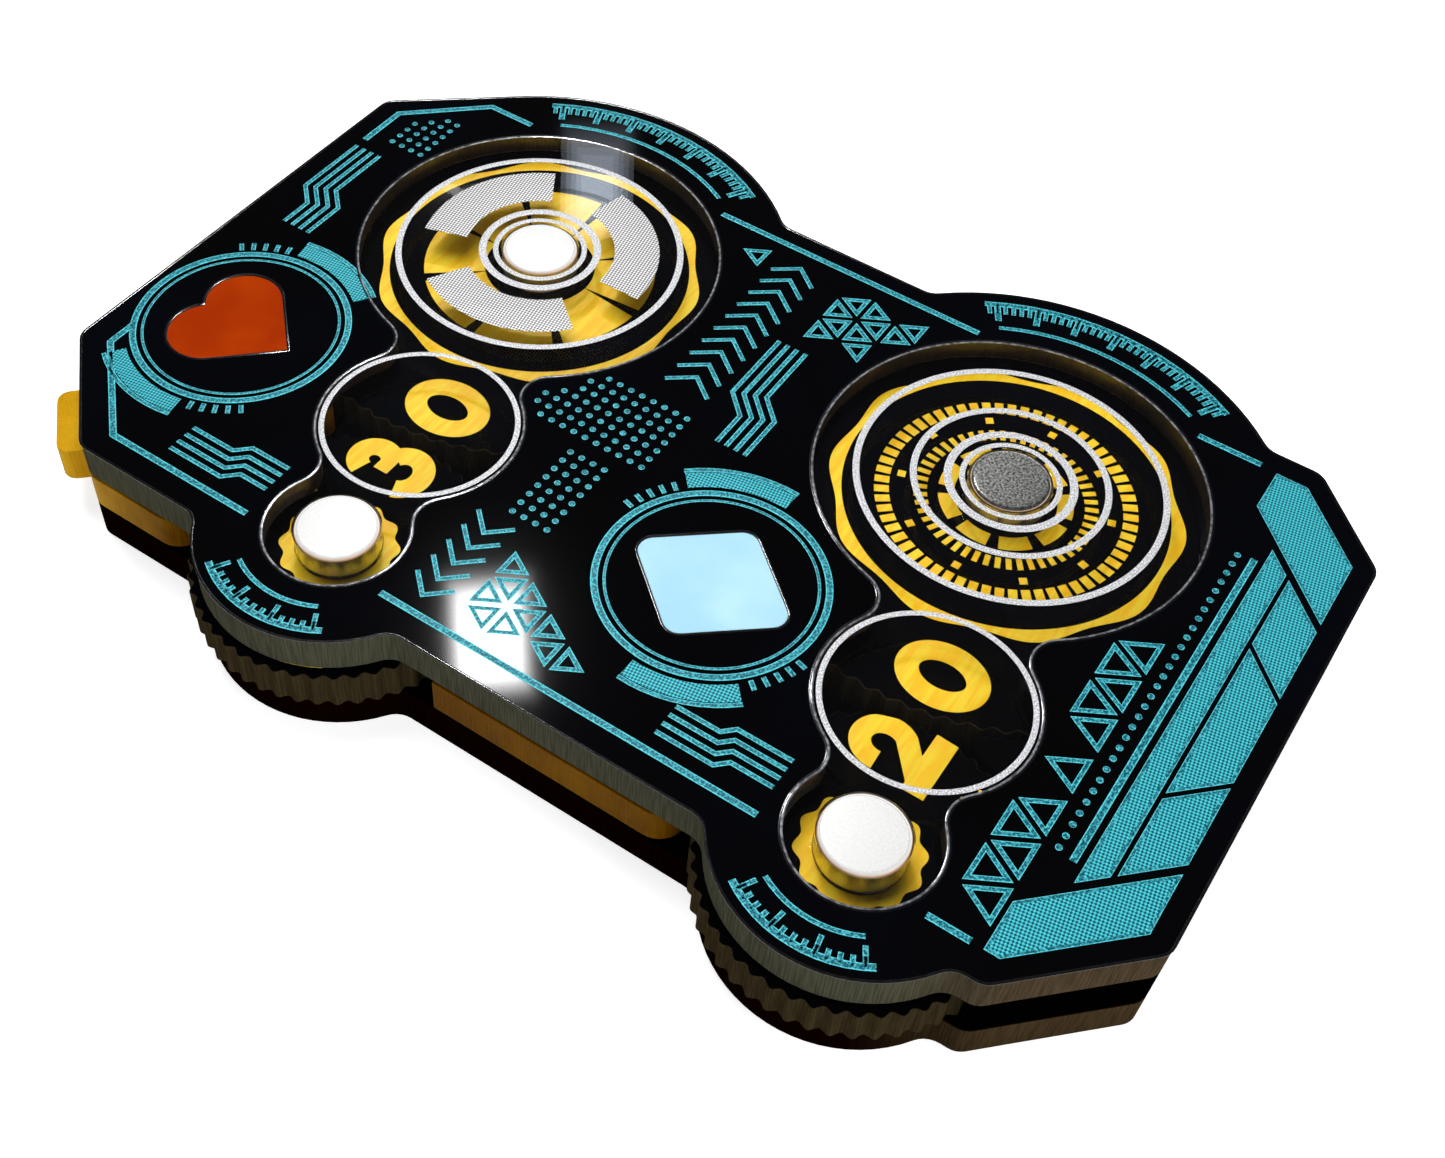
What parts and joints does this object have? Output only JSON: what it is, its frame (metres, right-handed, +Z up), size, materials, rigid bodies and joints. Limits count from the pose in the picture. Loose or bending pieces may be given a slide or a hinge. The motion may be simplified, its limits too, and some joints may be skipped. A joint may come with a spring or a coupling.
{
  "type": "life counter",
  "caption": "Flat life counter: knurled thumb wheels turn on disc magnets inside a sandwich of acrylic sheet, and the scores show through clear inserts in the face plate.",
  "frame": {"origin": "middle of the underside of the base plate", "axes": "+Z up out of the face plate, +Y along the plates to the end with the yellow corner tab, +X to the side where the units wheels stand out"},
  "size_m": [0.0636, 0.0892, 0.0097],
  "materials": {
    "black_acrylic": "cast acrylic sheet, black, laser-cut edges",
    "black_face": "cast acrylic sheet, black, polished, with painted teal line work",
    "wheel_acrylic": "cast acrylic sheet, black, with painted yellow numbers",
    "yellow_acrylic": "translucent yellow acrylic sheet",
    "red_acrylic": "translucent red-orange acrylic sheet",
    "blue_acrylic": "pale blue acrylic sheet",
    "clear_acrylic": "clear acrylic sheet with painted silver rings",
    "magnet_nickel": "nickel-plated disc magnet"
  },
  "bodies": {
    "plates": {"base_plate": "black_acrylic", "face_plate": "black_face", "red_inlay": "red_acrylic", "blue_inlay": "blue_acrylic", "upper_click_plate": "yellow_acrylic", "lower_click_plate": "yellow_acrylic", "end_spacer": "black_acrylic", "side_spacer": "black_acrylic", "upper_window_insert": "clear_acrylic", "lower_window_insert": "clear_acrylic", "upper_tens_base_magnet": "magnet_nickel", "upper_tens_hub_magnet": "magnet_nickel", "upper_tens_cap_magnet": "magnet_nickel", "upper_units_base_magnet": "magnet_nickel", "upper_units_hub_magnet": "magnet_nickel", "upper_units_cap_magnet": "magnet_nickel", "lower_tens_base_magnet": "magnet_nickel", "lower_tens_hub_magnet": "magnet_nickel", "lower_tens_cap_magnet": "magnet_nickel", "lower_units_base_magnet": "magnet_nickel", "lower_units_hub_magnet": "magnet_nickel", "lower_units_cap_magnet": "magnet_nickel"},
    "upper_tens": {"upper_tens_wheel": "wheel_acrylic"},
    "upper_units": {"upper_units_wheel": "wheel_acrylic"},
    "lower_tens": {"lower_tens_wheel": "wheel_acrylic"},
    "lower_units": {"lower_units_wheel": "wheel_acrylic"}
  },
  "joints": [
    {"name": "upper_tens_turn", "type": "hinge", "parent": "plates", "child": "upper_tens", "pos_m": [-0.0211, 0.01665, 0.00475], "axis": [0, 0, 1], "continuous": true},
    {"name": "upper_units_turn", "type": "hinge", "parent": "plates", "child": "upper_units", "pos_m": [0.0109, 0.02265, 0.00475], "axis": [0, 0, 1], "continuous": true},
    {"name": "lower_tens_turn", "type": "hinge", "parent": "plates", "child": "lower_tens", "pos_m": [-0.0211, -0.02565, 0.00475], "axis": [0, 0, 1], "continuous": true},
    {"name": "lower_units_turn", "type": "hinge", "parent": "plates", "child": "lower_units", "pos_m": [0.0109, -0.01965, 0.00475], "axis": [0, 0, 1], "continuous": true}
  ]
}
